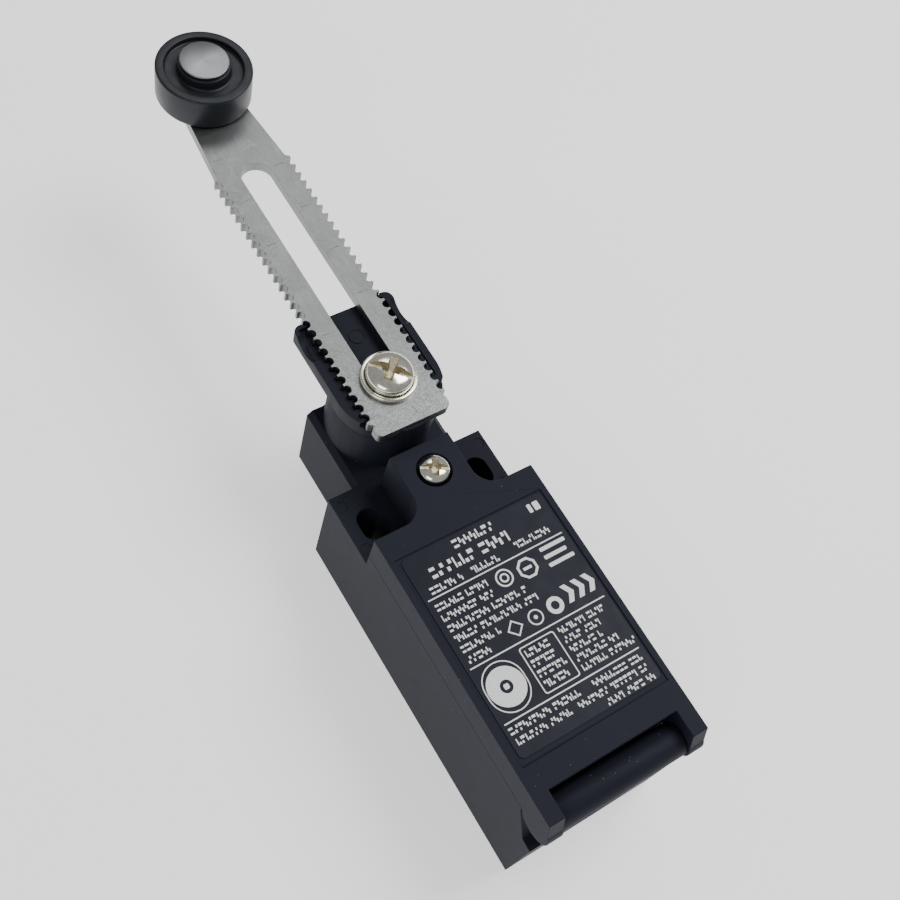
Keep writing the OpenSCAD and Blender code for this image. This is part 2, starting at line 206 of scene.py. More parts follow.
def apply_modifiers(obj):
    """Replaces an object's mesh by the result of its modifiers."""
    bpy.context.view_layer.update()
    graph = bpy.context.evaluated_depsgraph_get()
    mesh = bpy.data.meshes.new_from_object(obj.evaluated_get(graph))
    old = obj.data
    obj.modifiers.clear()
    obj.data = mesh
    bpy.data.meshes.remove(old)


# After a boolean, points closer than this merge, and faces that meet flatter than this angle become one.
MERGE_GAP = 0.002
FLAT_ANGLE = 0.5


def combine(obj, operation, tools):
    """Joins or cuts with the tools, removes them and merges what the boolean leaves split."""
    for tool in tools:
        mod = obj.modifiers.new("boolean", "BOOLEAN")
        mod.operation = operation
        mod.solver = "EXACT"
        mod.object = tool
    apply_modifiers(obj)
    for tool in tools:
        mesh = tool.data
        bpy.data.objects.remove(tool)
        bpy.data.meshes.remove(mesh)
    bm = bmesh.new()
    bm.from_mesh(obj.data)
    bmesh.ops.remove_doubles(bm, verts=bm.verts, dist=MERGE_GAP * MM)
    bmesh.ops.dissolve_limit(bm, angle_limit=math.radians(FLAT_ANGLE), verts=bm.verts, edges=bm.edges)
    bm.to_mesh(obj.data)
    bm.free()
    obj.data.polygons.foreach_set("use_smooth", [True] * len(obj.data.polygons))
    return obj


def cut(obj, *tools):
    return combine(obj, "DIFFERENCE", tools)


def join(obj, *tools):
    return combine(obj, "UNION", tools)


def round_edges(obj, width, segments=3, angle=32):
    """Rounds the edges that are sharper than an angle and keeps the flat faces flat."""
    bevel = obj.modifiers.new("edges", "BEVEL")
    bevel.width = width * MM
    bevel.segments = segments
    bevel.limit_method = "ANGLE"
    bevel.angle_limit = math.radians(angle)
    bevel.harden_normals = True
    bevel.miter_outer = "MITER_ARC"
    return obj


def finish_piece(obj, body, slot, *nodes):
    """Puts a piece on its body, gives it its slot's material and lets it stand for its CAD nodes."""
    if not obj.data.materials:
        obj.data.materials.append(MATERIALS[slot])
    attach(obj, body)
    if nodes:
        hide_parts(*nodes)
    return obj


# ---------------------------------------------------------------- materials

class Shader:
    """A small builder for node trees that read the object's own coordinates."""

    def __init__(self, name):
        self.mat = bpy.data.materials.new(name)
        self.mat.use_nodes = True
        self.tree = self.mat.node_tree
        self.bsdf = self.tree.nodes["Principled BSDF"]
        self.coords = self.tree.nodes.new("ShaderNodeTexCoord").outputs["Object"]

    def link(self, a, b):
        self.tree.links.new(a, b)

    def stretch(self, factors):
        """The coordinates with each axis multiplied by its factor."""
        node = self.tree.nodes.new("ShaderNodeMapping")
        node.inputs["Scale"].default_value = factors
        self.link(self.coords, node.inputs["Vector"])
        return node.outputs["Vector"]

    def noise(self, size, detail=3.0, coords=None, rough=0.5):
        """Noise whose lumps are about size millimetres across."""
        node = self.tree.nodes.new("ShaderNodeTexNoise")
        node.inputs["Scale"].default_value = 1 / (size * MM)
        node.inputs["Detail"].default_value = detail
        node.inputs["Roughness"].default_value = rough
        self.link(coords or self.coords, node.inputs["Vector"])
        return node.outputs["Fac"]

    def spots(self, size):
        """Distance to the nearest of points about size millimetres apart."""
        node = self.tree.nodes.new("ShaderNodeTexVoronoi")
        node.inputs["Scale"].default_value = 1 / (size * MM)
        self.link(self.coords, node.inputs["Vector"])
        return node.outputs["Distance"]

    def ramp(self, value, stops):
        """A colour that runs through the stops, each a value and its colour."""
        node = self.tree.nodes.new("ShaderNodeValToRGB")
        elements = node.color_ramp.elements
        while len(elements) < len(stops):
            elements.new(0.5)
        for element, (place, color) in zip(elements, stops):
            element.position = place
            element.color = (*color, 1)
        self.link(value, node.inputs["Fac"])
        return node.outputs["Color"]

    def grey(self, value, start, end, first, last):
        """A grey value that runs from first to last while the input runs from start to end."""
        node = self.tree.nodes.new("ShaderNodeMapRange")
        for socket, number in zip(("From Min", "From Max", "To Min", "To Max"), (start, end, first, last)):
            node.inputs[socket].default_value = number
        self.link(value, node.inputs["Value"])
        return node.outputs["Result"]

    def calc(self, operation, a, b=0.0):
        node = self.tree.nodes.new("ShaderNodeMath")
        node.operation = operation
        for socket, value in zip(node.inputs, (a, b)):
            if isinstance(value, (int, float)):
                socket.default_value = value
            else:
                self.link(value, socket)
        return node.outputs["Value"]

    def mix(self, factor, a, b):
        node = self.tree.nodes.new("ShaderNodeMix")
        node.data_type = "RGBA"
        for name, value in (("Factor_Float", factor), ("A_Color", a), ("B_Color", b)):
            socket = next(s for s in node.inputs if s.identifier == name)
            if isinstance(value, (int, float)):
                socket.default_value = value
            elif isinstance(value, tuple):
                socket.default_value = (*value, 1)
            else:
                self.link(value, socket)
        return next(s for s in node.outputs if s.identifier == "Result_Color")

    def bump(self, height, depth):
        """Bump whose full height is depth millimetres."""
        node = self.tree.nodes.new("ShaderNodeBump")
        node.inputs["Distance"].default_value = depth * MM
        self.link(height, node.inputs["Height"])
        return node.outputs["Normal"]

    def set(self, **values):
        """Sets the shader's sockets by name to numbers, colours or links, and returns the material."""
        for name, value in values.items():
            socket = self.bsdf.inputs[name.replace("_", " ")]
            if isinstance(value, (int, float)):
                socket.default_value = value
            elif isinstance(value, tuple):
                socket.default_value = (*value, 1)
            else:
                self.link(value, socket)
        return self.mat


def scaled(color, factor):
    return tuple(min(1.0, c * factor) for c in color)


BLUE_TINT = (0.92, 0.94, 1.2)
COOL_GLOSS = (0.93, 0.95, 1.0)
FIBRE_GREY = (0.45, 0.47, 0.5)


def bluish(color, factor):
    """A colour scaled in brightness and turned a little towards blue."""
    return tuple(c * factor * tint for c, tint in zip(color, BLUE_TINT))


def moulded(name, color, grain=0.14, depth=0.001, rough=(0.54, 0.56), specks=0.0, level=0.5):
    """Moulded plastic: fine grain, a faint flow pattern and, with specks, a few pale fibres."""
    s = Shader(name)
    fine = s.noise(grain, 2)
    flow = s.noise(9, 3)
    base = s.ramp(flow, [(0.3, scaled(color, 0.96)), (0.7, scaled(color, 1.04))])
    base = s.mix(s.grey(fine, 0.35, 0.7, 0.0, 0.25), base, scaled(color, 1.4))
    if specks:
        dots = s.grey(s.spots(1.1), 0.055, 0.03, 0, 1)
        chosen = s.grey(s.noise(1.6, 1), 0.56, 0.6, 0, specks)
        base = s.mix(s.calc("MULTIPLY", dots, chosen), base, FIBRE_GREY)
    roughness = s.grey(s.noise(2.5, 4), 0.3, 0.7, *rough)
    normal = s.bump(fine, depth)
    return s.set(Base_Color=base, Roughness=roughness, Normal=normal, Specular_IOR_Level=level,
                 Specular_Tint=COOL_GLOSS)


def rubber(name, color):
    """Dull black rubber with a dusty grain."""
    s = Shader(name)
    fine = s.noise(0.2, 3)
    base = s.mix(s.grey(fine, 0.3, 0.7, 0, 1), scaled(color, 0.8), scaled(color, 1.6))
    roughness = s.grey(s.noise(1, 2), 0.3, 0.7, 0.6, 0.8)
    return s.set(Base_Color=base, Roughness=roughness, Normal=s.bump(fine, 0.01))


def plated(name, color, rough, mottle=0.5, depth=0.002, darkest=0.85):
    """Plated metal with a soft mottle and a fine uneven surface."""
    s = Shader(name)
    cloud = s.noise(mottle, 4, rough=0.6)
    base = s.ramp(cloud, [(0.3, scaled(color, darkest)), (0.7, scaled(color, 1.08))])
    roughness = s.grey(s.noise(mottle * 1.7, 3), 0.3, 0.7, *rough)
    normal = s.bump(s.noise(mottle * 0.5, 3), depth)
    return s.set(Base_Color=base, Roughness=roughness, Normal=normal, Metallic=1.0)


def turned_metal(name, color, centre, rough=(0.3, 0.34), ring=0.12, depth=0.0003):
    """Metal faced on a lathe: fine rings round a centre, which spread the light in a fan."""
    s = Shader(name)
    shift = s.tree.nodes.new("ShaderNodeMapping")
    shift.inputs["Location"].default_value = (-centre[0] * MM, -centre[1] * MM, 0)
    s.link(s.coords, shift.inputs["Vector"])
    flat = s.tree.nodes.new("ShaderNodeSeparateXYZ")
    s.link(shift.outputs["Vector"], flat.inputs["Vector"])
    squares = [s.calc("POWER", flat.outputs[side], 2.0) for side in ("X", "Y")]
    radius = s.calc("SQRT", s.calc("ADD", *squares))
    rings = s.calc("SINE", s.calc("MULTIPLY", radius, 2 * math.pi / (ring * MM)))
    base = s.mix(s.grey(rings, -1, 1, 0, 1), scaled(color, 0.95), scaled(color, 1.04))
    tangent = s.tree.nodes.new("ShaderNodeTangent")
    tangent.direction_type = "RADIAL"
    tangent.axis = "Z"
    roughness = s.grey(s.noise(0.4, 3), 0.3, 0.7, *rough)
    return s.set(Base_Color=base, Roughness=roughness, Tangent=tangent.outputs["Tangent"],
                 Normal=s.bump(rings, depth), Metallic=1.0, Anisotropic=0.7)


def sheet_zinc(name, color):
    """Rolled, zinc-plated steel sheet: drawn grain along the arm and bright crystals near its clamped end."""
    s = Shader(name)
    along = s.noise(0.5, 5, s.stretch((1, 0.12, 1)), 0.6)
    cloud = s.noise(5, 4)
    base = s.ramp(cloud, [(0.3, scaled(color, 0.86)), (0.7, scaled(color, 1.1))])
    base = s.mix(s.grey(along, 0.35, 0.65, 0, 0.5), base, scaled(color, 0.82))
    place = s.tree.nodes.new("ShaderNodeSeparateXYZ")
    s.link(s.coords, place.inputs["Vector"])
    near = s.grey(place.outputs["Y"], (SHAFT.y + 16) * MM, (SHAFT.y - 2) * MM, 0.12, 1)
    crystal = s.noise(0.22, 2, rough=0.7)
    bright = s.calc("MULTIPLY", s.grey(crystal, 0.52, 0.66, 0, 1), near)
    dark = s.calc("MULTIPLY", s.grey(crystal, 0.46, 0.34, 0, 0.8), near)
    base = s.mix(bright, base, scaled(color, 1.5))
    base = s.mix(dark, base, scaled(color, 0.55))
    roughness = s.grey(crystal, 0.35, 0.7, 0.46, 0.3)
    height = s.calc("ADD", s.calc("MULTIPLY", crystal, near), s.calc("MULTIPLY", along, 0.3))
    return s.set(Base_Color=base, Roughness=roughness, Normal=s.bump(height, 0.02), Metallic=1.0)


def printed(name, color):
    """White ink, a little thin in places."""
    s = Shader(name)
    base = s.ramp(s.noise(0.25, 3), [(0.32, scaled(color, 0.82)), (0.55, color)])
    return s.set(Base_Color=base, Roughness=s.grey(s.noise(0.5, 2), 0.3, 0.7, 0.4, 0.55),
                 Normal=s.bump(s.noise(0.12, 2), 0.003))


# The record's colours are scaled to look right under the studio light.
SHELL_SHADE = 0.45
SHELL_GLOSS = 0.11
ROLLER_SHADE = 0.7
ZINC_SHADE = 0.54
NICKEL_SHADE = 1.25
PIN_SHADE = 0.72
# A darker, yellower nickel colour, painted into the screws' recesses as shade.
RECESS_SHADE_COLOR = (0.66, 0.6, 0.44)
INK_WHITE = (0.93, 0.94, 0.95)


def record_color(slot):
    """The record's base colour for a slot."""
    return tuple(next(m["base_color"] for m in frame["record"]["materials"] if m["slot"] == slot)[:3])


def shell(slot, **looks):
    """One of the four dark plastics that make the outside."""
    return moulded(slot, bluish(record_color(slot), SHELL_SHADE), level=SHELL_GLOSS, **looks)


def make_materials():
    """Every material by the slot that it belongs to."""
    color = record_color
    return {
        "case_plastic": shell("case_plastic", specks=0.8),
        "cover_plastic": shell("cover_plastic", specks=0.8),
        "lever_plastic": shell("lever_plastic", specks=0.5, rough=(0.44, 0.5)),
        "label_film": shell("label_film", grain=0.25, depth=0.003, rough=(0.34, 0.42)),
        "roller_resin": moulded("roller_resin", bluish(color("roller_resin"), ROLLER_SHADE), grain=0.4,
                                depth=0.003, rough=(0.3, 0.4), level=0.3),
        "white_resin": moulded("white_resin", color("white_resin"), grain=0.6, depth=0.002,
                               rough=(0.28, 0.38)),
        "block_resin": moulded("block_resin", color("block_resin"), rough=(0.4, 0.55)),
        "red_resin": moulded("red_resin", color("red_resin"), rough=(0.35, 0.5)),
        "seal_rubber": rubber("seal_rubber", color("seal_rubber")),
        "zinc_steel": sheet_zinc("zinc_steel", scaled(color("zinc_steel"), ZINC_SHADE)),
        "nickel_steel": plated("nickel_steel", scaled(color("nickel_steel"), NICKEL_SHADE), rough=(0.13, 0.2),
                               depth=0.001),
        # Rougher nickel for the screw recesses; its darker, yellower colour is painted shade.
        "recess_shade_nickel": plated("recess_shade_nickel", RECESS_SHADE_COLOR, rough=(0.4, 0.55), mottle=0.3, depth=0.01,
                              darkest=0.6),
        "pin_steel": turned_metal("pin_steel", scaled(color("pin_steel"), PIN_SHADE), (ROLLER.x, ROLLER.y)),
        "spring_steel": plated("spring_steel", color("spring_steel"), rough=(0.22, 0.36)),
        "bronze": plated("bronze", color("bronze"), rough=(0.4, 0.55), mottle=0.3, depth=0.008),
        "contact_copper": plated("contact_copper", color("contact_copper"), rough=(0.25, 0.4)),
        "contact_brass": plated("contact_brass", color("contact_brass"), rough=(0.25, 0.4)),
    }


# ---------------------------------------------------------------- CAD nodes that keep their shape

# Widths of the rounded edges. FULL_WIDTH nodes keep their width where an edge is shorter than it, and the
# SMOOTH_AS_IS nodes are round all over and get no rounding.
EDGE_WIDTH = 0.12
EDGE_WIDTHS = {"case": 0.07, "contact_block": 0.25, "contact_block_lid": 0.25}
FULL_WIDTH = ("case", "head", "cover")
SMOOTH_AS_IS = ("plunger_spring", "carrier_spring", "contact_springs", "shaft_seal")
CAD_MERGE_GAP = 0.001
CAD_FLAT_ANGLE = 0.4


def dress_cad_node(obj, node, slot):
    """Gives a CAD node its material and rounds its edges with modifiers."""
    obj.data.materials.clear()
    obj.data.materials.append(MATERIALS[slot])
    if node in SMOOTH_AS_IS:
        return
    weld = obj.modifiers.new("weld", "WELD")
    weld.merge_threshold = CAD_MERGE_GAP * MM
    flat = obj.modifiers.new("flat", "DECIMATE")
    flat.decimate_type = "DISSOLVE"
    flat.angle_limit = math.radians(CAD_FLAT_ANGLE)
    round_edges(obj, EDGE_WIDTHS.get(node, EDGE_WIDTH), 3, 30)
    obj.modifiers["edges"].use_clamp_overlap = node not in FULL_WIDTH


def dress_cad_nodes():
    slots = {s["node"]: s["material_slot"] for s in frame["record"]["subparts"]}
    for node, obj in frame["nodes"].items():
        dress_cad_node(obj, node, slots[node])


def make_spring(name, node, body):
    """A return spring: a copy of the CAD spring's mesh, put on the given body."""
    spring = bpy.data.objects.new(name, frame["nodes"][node].data.copy())
    scene.collection.objects.link(spring)
    spring.data.materials.clear()
    finish_piece(spring, body, "spring_steel", node)
    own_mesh(spring)
    return spring


# ---------------------------------------------------------------- lever

def frustum(name, top, bottom, z_top, z_bottom, angle, centre):
    """A tapered block with (length, width) at its top and bottom, turned round a vertical axis."""
    bm = bmesh.new()
    rings = []
    for (length, width), z in ((top, z_top), (bottom, z_bottom)):
        corners = rectangle(-length / 2, -width / 2, length / 2, width / 2)
        rings.append([bm.verts.new((x, y, z)) for x, y in turned(corners, angle, centre.x, centre.y)])
    bm.faces.new(rings[0])
    bm.faces.new(list(reversed(rings[1])))
    for i in range(4):
        j = (i + 1) % 4
        bm.faces.new((rings[0][j], rings[0][i], rings[1][i], rings[1][j]))
    bmesh.ops.recalc_face_normals(bm, faces=bm.faces)
    obj = to_object(name, bm)
    add_screw_materials(obj)
    # The faces that this tool cuts take the second material: the rougher nickel with painted recess shade.
    obj.data.polygons.foreach_set("material_index", [1] * len(obj.data.polygons))
    return obj


def add_screw_materials(obj):
    """Bright nickel outside, and for the faces that a recess tool cuts a rougher nickel whose darker,
    yellower colour is painted shade.
    """
    obj.data.materials.append(MATERIALS["nickel_steel"])
    obj.data.materials.append(MATERIALS["recess_shade_nickel"])


def cut_recess(screw, centre, top, turn, slot, wing):
    """Cuts a slot and a cross into a screw's head. Each tool is (length, width) at its top and its bottom,
    then the height of its top over the head and its depth."""
    tools = []
    for name, shape, angle in (("slot", slot, turn), ("wing", wing, turn + 90), ("wing", wing, turn)):
        wide, narrow, rise, depth = shape
        tools.append(frustum(name, wide, narrow, top + rise, top - depth, angle, centre))
    cut(screw, *tools)


def rack(first, last, side, grow=0.0):
    """One toothed edge from the tooth tip at first down to the one at last, with round gullets."""
    tip = TIP_X + grow
    centre = ROOT_X + GULLET_R
    gullet_r = GULLET_R - grow
    reach = math.acos((tip - centre) / gullet_r)
    half_tip = PITCH / 2 - gullet_r * math.sin(reach)
    start = math.degrees(reach)
    points = []
    count = round((first - last) / PITCH) + 1
    for i in range(count):
        y = first - i * PITCH
        points += [(tip, y + half_tip), (tip, y - half_tip)]
        if i < count - 1:
            points += arc(centre, y - PITCH / 2, gullet_r, start, 360 - start, 12)[1:-1]
    return [(side * x, y) for x, y in points]


def arm_outline():
    """The arm from its left edge down, round its square foot and up to the neck under the roller."""
    neck = 5.2
    shoulder = 6.85
    last = FIRST_TOOTH - (TEETH - 1) * PITCH
    left = rack(FIRST_TOOTH, last, -1)
    right = rack(FIRST_TOOTH, last, 1)
    foot_left = -ROOT_X - 0.55
    foot_right = ROOT_X + 0.45
    foot_top = ARM_BOTTOM + 2
    foot = rounded([(foot_left, foot_top, 0), (foot_left, ARM_BOTTOM, 1.0),
                    (foot_right, ARM_BOTTOM, 1.2), (foot_right, foot_top, 0)])
    return (left + [(-ROOT_X - 0.1, foot_top + 0.3)] + foot + [(ROOT_X + 0.1, foot_top + 0.3)]
            + list(reversed(right)) + [(shoulder, FIRST_TOOTH + 0.7)]
            + arc(ROLLER.x, ROLLER.y, neck, 0, 180, 24) + [(-shoulder, FIRST_TOOTH + 0.7)])


def graduation(x, y):
    """A shallow scored line across one strip of the arm."""
    return prism("mark", rectangle(x - 1.0, y - 0.07, x + 1.0, y + 0.07), ARM_FRONT - 0.07, ARM_FRONT + CLEAR)


def make_arm():
    """The slotted arm with teeth on both edges, scored lines and one scratch."""
    arm = prism("arm_plate", arm_outline(), ARM_BACK, ARM_FRONT)
    slot_x = 0.05
    slot_r = 2.95
    slot_top = FIRST_TOOTH - 1.7
    slot = arc(slot_x, slot_top, slot_r, 0, 180, 20) + arc(slot_x, SHAFT.y, slot_r, 180, 360, 20)
    tools = [prism("slot", slot, ARM_BACK - CLEAR, ARM_FRONT + CLEAR)]
    spacing = 10.1
    for x, highest, count in ((-4.9, FIRST_TOOTH + 4.2, 5), (4.75, FIRST_TOOTH - 0.8, 4)):
        tools += [graduation(x, highest - i * spacing) for i in range(count)]
    scratch = turned(rectangle(-0.08, -0.8, 0.08, 0.8), 12, 0.9, ARM_BOTTOM + 2.3)
    tools.append(prism("scratch", scratch, ARM_FRONT - 0.06, ARM_FRONT + CLEAR))
    cut(arm, *tools)
    round_edges(arm, 0.18, 3, 28)
    return finish_piece(arm, "lever", "zinc_steel", "lever_arm")


def base_channel_cuts(floor_z):
    """The toothed channel for the arm, and what ends the two walls beside its foot."""
    gap = 0.16
    first = FIRST_TOOTH - 15 * PITCH
    last = FIRST_TOOTH - 28 * PITCH
    channel = rack(first, last, -1, gap) + list(reversed(rack(first, last, 1, gap)))
    inside = 7.0
    outside = 10.5
    below = SHAFT.y - 11
    nose = SHAFT.y - 3.4
    right_end = rounded([(inside, below, 0), (outside, below, 0), (outside, nose + 0.3, 0), (9.0, nose, 0.8),
                         (8.2, nose - 0.7, 0.5), (inside, nose - 0.4, 0)])
    left_end = rectangle(-outside, below, -inside, SHAFT.y - 5.0)
    outlines = (channel, right_end, left_end)
    return [prism("channel", outline, floor_z, BASE_FRONT + CLEAR) for outline in outlines]


def base_wall_cuts(side, top):
    """The low step, the deep pocket and the rounded dip in one wall of the lever base."""
    inside = side * 6.5
    step_x = side * 8.3
    step_low = SHAFT.y - 2.6
    step_top = top - 7.4
    step = rounded([(inside, step_low, 0), (step_x, step_low, 0.6), (step_x, step_top, 0),
                    (inside, step_top, 0)])
    pocket_x = -8.9 if side < 0 else 8.1
    pocket_low = top - 7.6
    pocket_top = top - 0.8
    pocket = rounded([(inside, pocket_low, 0), (pocket_x, pocket_low, 0.8), (pocket_x, pocket_top, 0.7),
                      (inside, pocket_top, 0)])
    dip = circle(top - 4.7, BASE_FRONT + 3.0, 4.1, 48)
    return [prism("step", step, BASE_FRONT - 0.3, BASE_FRONT + CLEAR),
            prism("pocket", pocket, BASE_FRONT - 0.9, BASE_FRONT + CLEAR),
            prism("dip", dip, *sorted((side * 8.8, side * 11)), axis="x")]


def make_base():
    """The lever base: a round disc on a smaller foot, with two toothed walls and a ring mark on its floor."""
    floor_z = ARM_BACK
    top = high("lever_base").y
    side = 9.65
    groove = 0.45
    disc_back = BASE_BACK + groove
    base = prism("base_channel", circle(SHAFT.x, SHAFT.y, side, 96), disc_back, floor_z)
    join(base, prism("foot", circle(SHAFT.x, SHAFT.y, side - groove, 96), BASE_BACK, disc_back + 0.2))
    walls = rounded([(-side, SHAFT.y, 0), (side, SHAFT.y, 0), (side, top, 1.5), (-side, top, 1.5)], 6)
    rim = arc(SHAFT.x, SHAFT.y, side, 180, 360, 48) + walls[2:-1]
    join(base, prism("walls", rim, BASE_BACK + 1, BASE_FRONT))
    cut(base, *base_channel_cuts(floor_z), *base_wall_cuts(-1, top), *base_wall_cuts(1, top))
    ring = [(1.3, floor_z - 0.12), (1.3, floor_z + 0.3), (1.46, floor_z + 0.3), (1.46, floor_z - 0.12)]
    cut(base, lathe("ring", ring, Vector((0.1, top - 5.6, 0)), True, 40))
    round_edges(base, 0.2, 3, 30)
    return finish_piece(base, "lever", "lever_plastic", "lever_base")


def make_washer():
    """A washer with a round rim and a slightly dished face."""
    back = low("lever_washer").z
    front = high("lever_washer").z
    outer = high("lever_washer").x
    bore = 2.2
    dished = front - 0.12
    profile = ([(bore, back)] + arc(outer - 0.25, back + 0.25, 0.25, -90, 0, 4)
               + arc(outer - 0.35, front - 0.35, 0.35, 0, 90, 5)
               + [(4.25, front), (4.2, dished), (bore, dished)])
    return finish_piece(lathe("screw_washer", profile, SHAFT, True), "lever", "nickel_steel", "lever_washer")


def pan_head(name, centre, shank_r, shank_low, seat, head_r, dome_top, dome_h):
    """A screw with a domed head. The recess is cut afterwards."""
    edge = dome_top - dome_h
    dome = [(head_r * x, edge + dome_h * z) for x, z in arc(0, 0, 1, 9, 81, 8)]
    profile = ([(0, shank_low), (shank_r - 0.3, shank_low), (shank_r, shank_low + 0.3), (shank_r, seat)]
               + [(head_r - 0.15, seat), (head_r, seat + 0.15), (head_r, edge)] + dome + [(0, dome_top)])
    screw = lathe(name, profile, centre)
    add_screw_materials(screw)
    return screw


def make_lever_screw():
    seat = high("lever_washer").z - 0.1
    top = high("lever_screw").z
    screw = pan_head("arm_screw", SHAFT, 1.9, low("lever_screw").z, seat, 4.1, top, 1.5)
    cut_recess(screw, SHAFT, top, -46, slot=((12, 1.5), (12, 0.7), 0.3, 1.15),
               wing=((5.2, 1.7), (1.5, 0.7), 0.1, 2.0))
    round_edges(screw, 0.08, 2, 35)
    return finish_piece(screw, "lever", "nickel_steel", "lever_screw")


def make_cover_screw():
    top = high("cover_screw").z
    seat = top - 3.2
    screw = pan_head("tab_screw", COVER_SCREW, 1.5, low("cover_screw").z, seat, 2.65, top, 1.1)
    cut_recess(screw, COVER_SCREW, top, -28, slot=((8, 0.8), (8, 0.6), 0.2, 0.75),
               wing=((3.9, 1.3), (1.1, 0.6), 0.1, 1.3))
    round_edges(screw, 0.06, 2, 35)
    return finish_piece(screw, "cover", "nickel_steel", "cover_screw")


def make_roller():
    """The roller: its hub stands proud of the web, and a raised rim runs round its front."""
    back = low("roller").z
    front = high("roller").z
    outer = high("roller").x
    hub = 4.75
    bore = 2.55
    web = front - 1.0
    fillet = 0.4
    chamfer = 0.35
    profile = (arc(bore + 0.2, front + 0.75, 0.2, 180, 90, 3) + arc(hub - 0.15, front + 0.8, 0.15, 90, 0, 3)
               + arc(hub + fillet, web + fillet, fillet, 180, 270, 4)
               + arc(6.8, web + fillet, fillet, 270, 345, 4)
               + arc(7.3, front - 0.18, 0.18, 165, 90, 3)
               + arc(outer - chamfer, front - chamfer, chamfer, 90, 0, 5)
               + arc(outer - chamfer, back + chamfer, chamfer, 0, -90, 5)
               + arc(3.9, back + 0.15, 0.15, 270, 180, 3)
               + [(3.7, back + 0.95), (bore, back + 0.95)])
    return finish_piece(lathe("roller_wheel", profile, ROLLER, True, 128), "roller", "roller_resin", "roller")


def make_pin():
    """The roller's pin: a riveted tail behind the arm, a stem and a flat cap."""
    back = low("roller_pin").z
    front = high("roller_pin").z
    cap = 4.42
    cap_back = front - 0.85
    stem = 2.5
    tail = 1.88
    profile = ([(0, back)] + arc(2.7, back + 0.4, 0.5, -53, 0, 4)
               + [(3.2, ARM_BACK), (tail, ARM_BACK), (tail, ARM_FRONT), (stem, ARM_FRONT), (stem, cap_back),
                  (cap - 0.12, cap_back), (cap, cap_back + 0.12)]
               + arc(cap - 0.16, front - 0.16, 0.16, 0, 90, 4) + [(0, front)])
    return finish_piece(lathe("roller_rivet", profile, ROLLER), "lever", "pin_steel", "roller_pin")


# ---------------------------------------------------------------- label

# The film leaves a narrow border of its recess free, and its face lies just under the cover's front. The ink
# stands on the film, with its foot sunk into it.
LABEL_X = (LABEL_LOW.x + 0.45, LABEL_HIGH.x - 0.25)
LABEL_Y = (LABEL_LOW.y + 0.8, LABEL_HIGH.y - 0.2)
LABEL_TOP = COVER_FRONT - 0.1
INK = 0.025
INK_FOOT = 0.01


def make_label():
    """The blank film with round corners."""
    label = prism("label_sheet", rectangle(LABEL_X[0], LABEL_Y[0], LABEL_X[1], LABEL_Y[1], 1.1, 8),
                  LABEL_LOW.z, LABEL_TOP)
    round_edges(label, 0.04, 2)
    return finish_piece(label, "cover", "label_film", "label_plate")


def ink(bm, outline):
    """Adds one flat block of ink to the print."""
    add_prism(bm, outline, LABEL_TOP - INK_FOOT, LABEL_TOP + INK)


def ink_band(bm, outer, inner):
    """A flat band of ink between two outlines that have the same number of points."""
    rings = [[bm.verts.new((x, y, z)) for x, y in line]
             for line in (outer, inner) for z in (LABEL_TOP - INK_FOOT, LABEL_TOP + INK)]
    count = len(outer)
    for i in range(count):
        j = (i + 1) % count
        for p, q in ((0, 1), (1, 3), (3, 2), (2, 0)):
            bm.faces.new((rings[p][i], rings[p][j], rings[q][j], rings[q][i]))


def ink_ring(bm, x, y, outer, inner, steps=32, turn=0.0):
    """A ring of ink, or with few steps a frame with as many sides."""
    ink_band(bm, *(turned(circle(0, 0, r, steps), turn, x, y) for r in (outer, inner)))


def ink_frame(bm, x0, y0, x1, y1, r, width, inner_r, steps=6):
    """A rectangular frame of ink with round corners."""
    ink_band(bm, rectangle(x0, y0, x1, y1, r, steps),
             rectangle(x0 + width, y0 + width, x1 - width, y1 - width, inner_r, steps))


# Abstract marks, each of two blocks (x0, y0, x1, y1) in a unit square.
MARKS = (
    ((0.0, 0.0, 0.3, 1.0), (0.5, 0.0, 1.0, 0.34)),
    ((0.0, 0.62, 1.0, 1.0), (0.0, 0.0, 0.42, 0.36)),
    ((0.68, 0.0, 1.0, 1.0), (0.0, 0.62, 0.46, 1.0)),
    ((0.0, 0.0, 1.0, 0.3), (0.0, 0.7, 1.0, 1.0)),
    ((0.0, 0.36, 0.4, 1.0), (0.6, 0.0, 1.0, 0.64)),
    ((0.0, 0.0, 0.46, 0.4), (0.54, 0.6, 1.0, 1.0)),
)

# Blocks of print: left end, first base line, line spacing, height, fewest and most marks in a group, and
# the length of each line.
PRINT = (
    (-4.4, -12.2, 0, 1.5, (9, 9), (8.2,)),
    (-10.3, -15.1, 0, 1.9, (4, 6), (15.4,)),
    (-11.9, -17.3, 0, 1.2, (5, 5), (6.3,)),
    (-4.0, -17.3, 0, 1.2, (6, 6), (5.0,)),
    (4.7, -16.9, 0, 1.2, (8, 8), (7.0,)),
    (-12.6, -20.1, 1.92, 1.15, (5, 9), (9.6, 9.6, 15.2, 15.6, 7.4, 4.2)),
    (-3.9, -33.2, 1.85, 1.2, (5, 8), (5.3, 5.3, 5.3, 5.3)),
    (3.0, -32.5, 1.72, 1.1, (4, 7), (9.6, 7.2, 6.6, 8.4, 10.6)),
    (-13.0, -42.3, 0, 1.15, (6, 10), (13.0,)),
    (3.0, -42.3, 0, 1.1, (6, 8), (9.8,)),
    (-12.8, -44.1, 0, 1.1, (7, 9), (10.4,)),
    (-1.0, -44.1, 0, 1.1, (4, 8), (13.8,)),
    (3.4, -45.9, 0, 1.1, (4, 5), (9.4,)),
)


